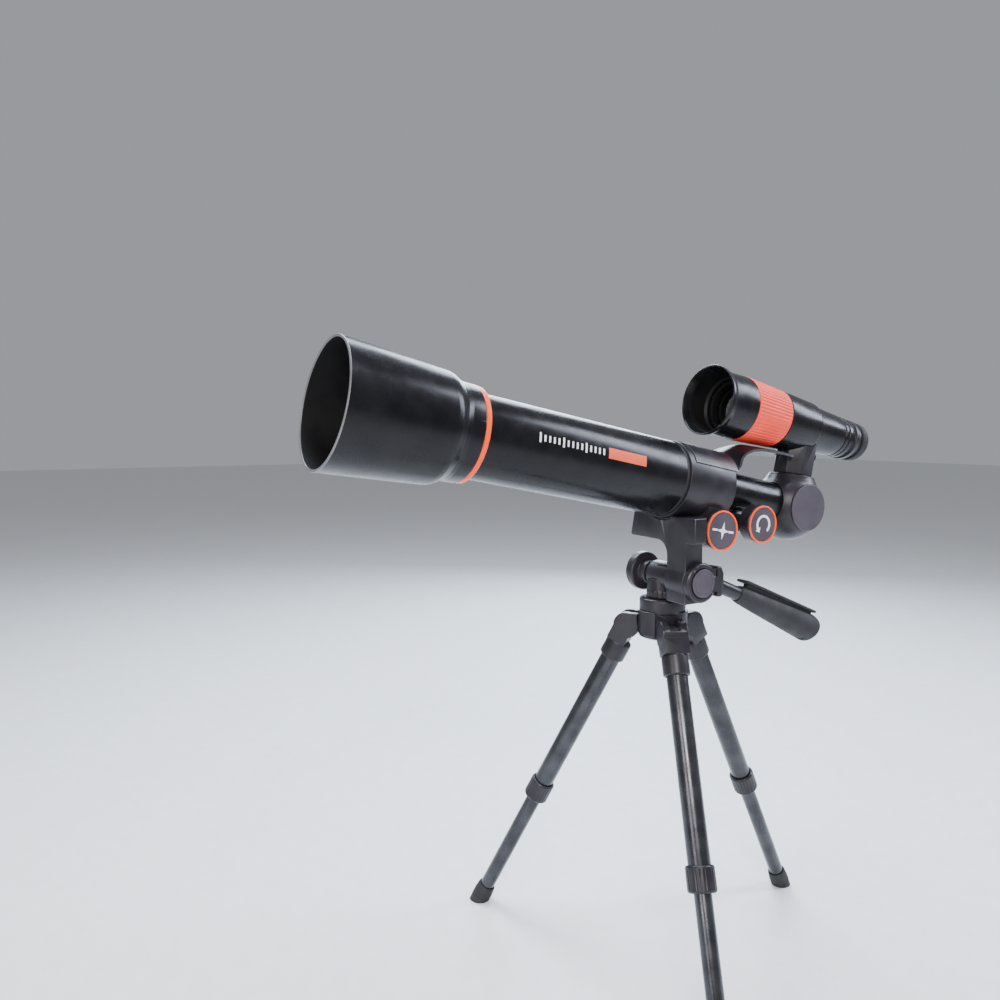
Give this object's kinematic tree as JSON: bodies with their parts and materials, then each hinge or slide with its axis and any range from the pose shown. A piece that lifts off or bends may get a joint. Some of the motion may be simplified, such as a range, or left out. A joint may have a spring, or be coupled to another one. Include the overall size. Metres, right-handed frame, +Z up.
{
  "type": "telescope on tripod",
  "caption": "Small table-top refractor telescope with a raised viewer, rack focusing and a panning, tilting tripod with folding, sliding legs.",
  "frame": {"origin": "on the floor, under the centre of the object's bounding box; the feet's soles are at z = 0", "axes": "+Z up; the telescope looks along -Y, tipped up by 11.35 degrees; the lettered side of the real object and the pan handle face +X"},
  "size_m": [0.2356, 0.395, 0.3799],
  "materials": {
    "gloss_black": "smooth black moulded shell with a soft sheen",
    "satin_black": "fine-grained black moulded plastic",
    "disc_grey": "flat charcoal insert with a faint warm cast",
    "orange": "glossy orange trim",
    "ring_red": "orange-red ribbed grip",
    "rubber": "black rubber",
    "leg_metal": "dark anodised tube",
    "steel": "bright steel",
    "brass": "turned brass",
    "glass": "clear optical glass",
    "mirror": "front-silvered mirror"
  },
  "bodies": {
    "hub": {"hub_body": "satin_black", "pan_bolt": "steel"},
    "pan_head": {"pan_base": "satin_black"},
    "tilt_head": {"tilt_bracket": "satin_black", "platform_pad": "rubber", "mount_screw": "steel", "mount_nut": "brass", "tilt_bolt": "steel", "tilt_clamp": "satin_black", "tilt_cap": "disc_grey", "dew_shield": "gloss_black", "trim_band": "orange", "objective_cell": "gloss_black", "objective_lens": "glass", "main_tube": "gloss_black", "seam_ring": "rubber", "focuser_shell_near": "satin_black", "focuser_shell_far": "satin_black", "badge_disc": "disc_grey", "badge_ring": "orange"},
    "pan_handle": {"handle_bar": "satin_black", "handle_grip": "rubber"},
    "clamp_knob": {"tilt_knob": "satin_black"},
    "focus_carriage": {"drawtube": "gloss_black", "focus_rack": "steel", "elbow_housing": "satin_black", "elbow_cap_near": "disc_grey", "elbow_cap_far": "disc_grey", "elbow_mirror": "mirror", "tower": "satin_black", "arch_bracket": "satin_black", "viewer_body": "gloss_black", "bell_hood": "gloss_black", "fold_mirror": "mirror", "eye_tube": "satin_black", "eye_lens": "glass", "eyecup": "rubber"},
    "focus_pinion": {"pinion_shaft": "steel", "focus_knob_near": "satin_black", "focus_knob_far": "satin_black", "knob_disc": "disc_grey", "knob_ring": "orange"},
    "viewer_ring": {"grip_ring": "ring_red"},
    "viewer_cell": {"finder_cell": "gloss_black", "finder_lens": "glass"},
    "leg_front": {"leg_knuckle_front": "satin_black", "leg_upper_front": "leg_metal", "leg_collar_front": "satin_black"},
    "leg_front_end": {"leg_lower_front": "leg_metal", "leg_foot_front": "rubber"},
    "leg_rear": {"leg_knuckle_rear": "satin_black", "leg_upper_rear": "leg_metal", "leg_collar_rear": "satin_black"},
    "leg_rear_end": {"leg_lower_rear": "leg_metal", "leg_foot_rear": "rubber"},
    "leg_far": {"leg_knuckle_far": "satin_black", "leg_upper_far": "leg_metal", "leg_collar_far": "satin_black"},
    "leg_far_end": {"leg_lower_far": "leg_metal", "leg_foot_far": "rubber"}
  },
  "joints": [
    {"name": "pan", "type": "hinge", "parent": "hub", "child": "pan_head", "pos_m": [-0.0056, 0.0295, 0.22878], "axis": [0, 0, 1], "continuous": true},
    {"name": "tilt", "type": "hinge", "parent": "pan_head", "child": "tilt_head", "pos_m": [0.0034, 0.0296, 0.24328], "axis": [-1, 0, 0], "range_deg": [-20, 28]},
    {"name": "handle_twist", "type": "hinge", "parent": "tilt_head", "child": "pan_handle", "pos_m": [0.0214, 0.0296, 0.24728], "axis": [0, 0.9239, -0.3827], "range_deg": [0, 360]},
    {"name": "clamp_turn", "type": "hinge", "parent": "tilt_head", "child": "clamp_knob", "pos_m": [-0.0246, 0.0296, 0.24328], "axis": [1, 0, 0], "range_deg": [0, 360]},
    {"name": "focus_slide", "type": "slide", "parent": "tilt_head", "child": "focus_carriage", "axis": [0, 0.9804, -0.1968], "range_m": [0, 0.012]},
    {"name": "focus_turn", "type": "hinge", "parent": "tilt_head", "child": "focus_pinion", "pos_m": [0.0034, 0.07988, 0.27525], "axis": [-1, 0, 0], "range_deg": [0, 230]},
    {"name": "viewer_ring_turn", "type": "hinge", "parent": "focus_carriage", "child": "viewer_ring", "pos_m": [0.0034, 0.09525, 0.34418], "axis": [0, -0.9804, 0.1968], "range_deg": [-60, 60]},
    {"name": "viewer_cell_slide", "type": "slide", "parent": "focus_carriage", "child": "viewer_cell", "axis": [0, -0.9804, 0.1968], "range_m": [-0.0021, 0.0021]},
    {"name": "leg_fold_front", "type": "hinge", "parent": "hub", "child": "leg_front", "pos_m": [0.01389, 0.02041, 0.21028], "axis": [0.4226, 0.9063, 0], "range_deg": [0, 27]},
    {"name": "leg_slide_front", "type": "slide", "parent": "leg_front", "child": "leg_front_end", "axis": [0.4115, -0.1919, -0.891], "range_m": [-0.078, 0]},
    {"name": "leg_fold_rear", "type": "hinge", "parent": "hub", "child": "leg_rear", "pos_m": [-0.00747, 0.05092, 0.21028], "axis": [-0.9962, -0.0872, 0], "range_deg": [0, 27]},
    {"name": "leg_slide_rear", "type": "slide", "parent": "leg_rear", "child": "leg_rear_end", "axis": [-0.0396, 0.4523, -0.891], "range_m": [-0.078, 0]},
    {"name": "leg_fold_far", "type": "hinge", "parent": "hub", "child": "leg_far", "pos_m": [-0.02321, 0.01717, 0.21028], "axis": [0.5736, -0.8192, 0], "range_deg": [0, 27]},
    {"name": "leg_slide_far", "type": "slide", "parent": "leg_far", "child": "leg_far_end", "axis": [-0.3719, -0.2604, -0.891], "range_m": [-0.078, 0]}
  ],
  "couplings": [
    {"joint": "focus_turn", "follows": "focus_slide", "rad_per_m": 333.33},
    {"joint": "viewer_cell_slide", "follows": "viewer_ring_turn", "m_per_rad": 0.0019}
  ]
}
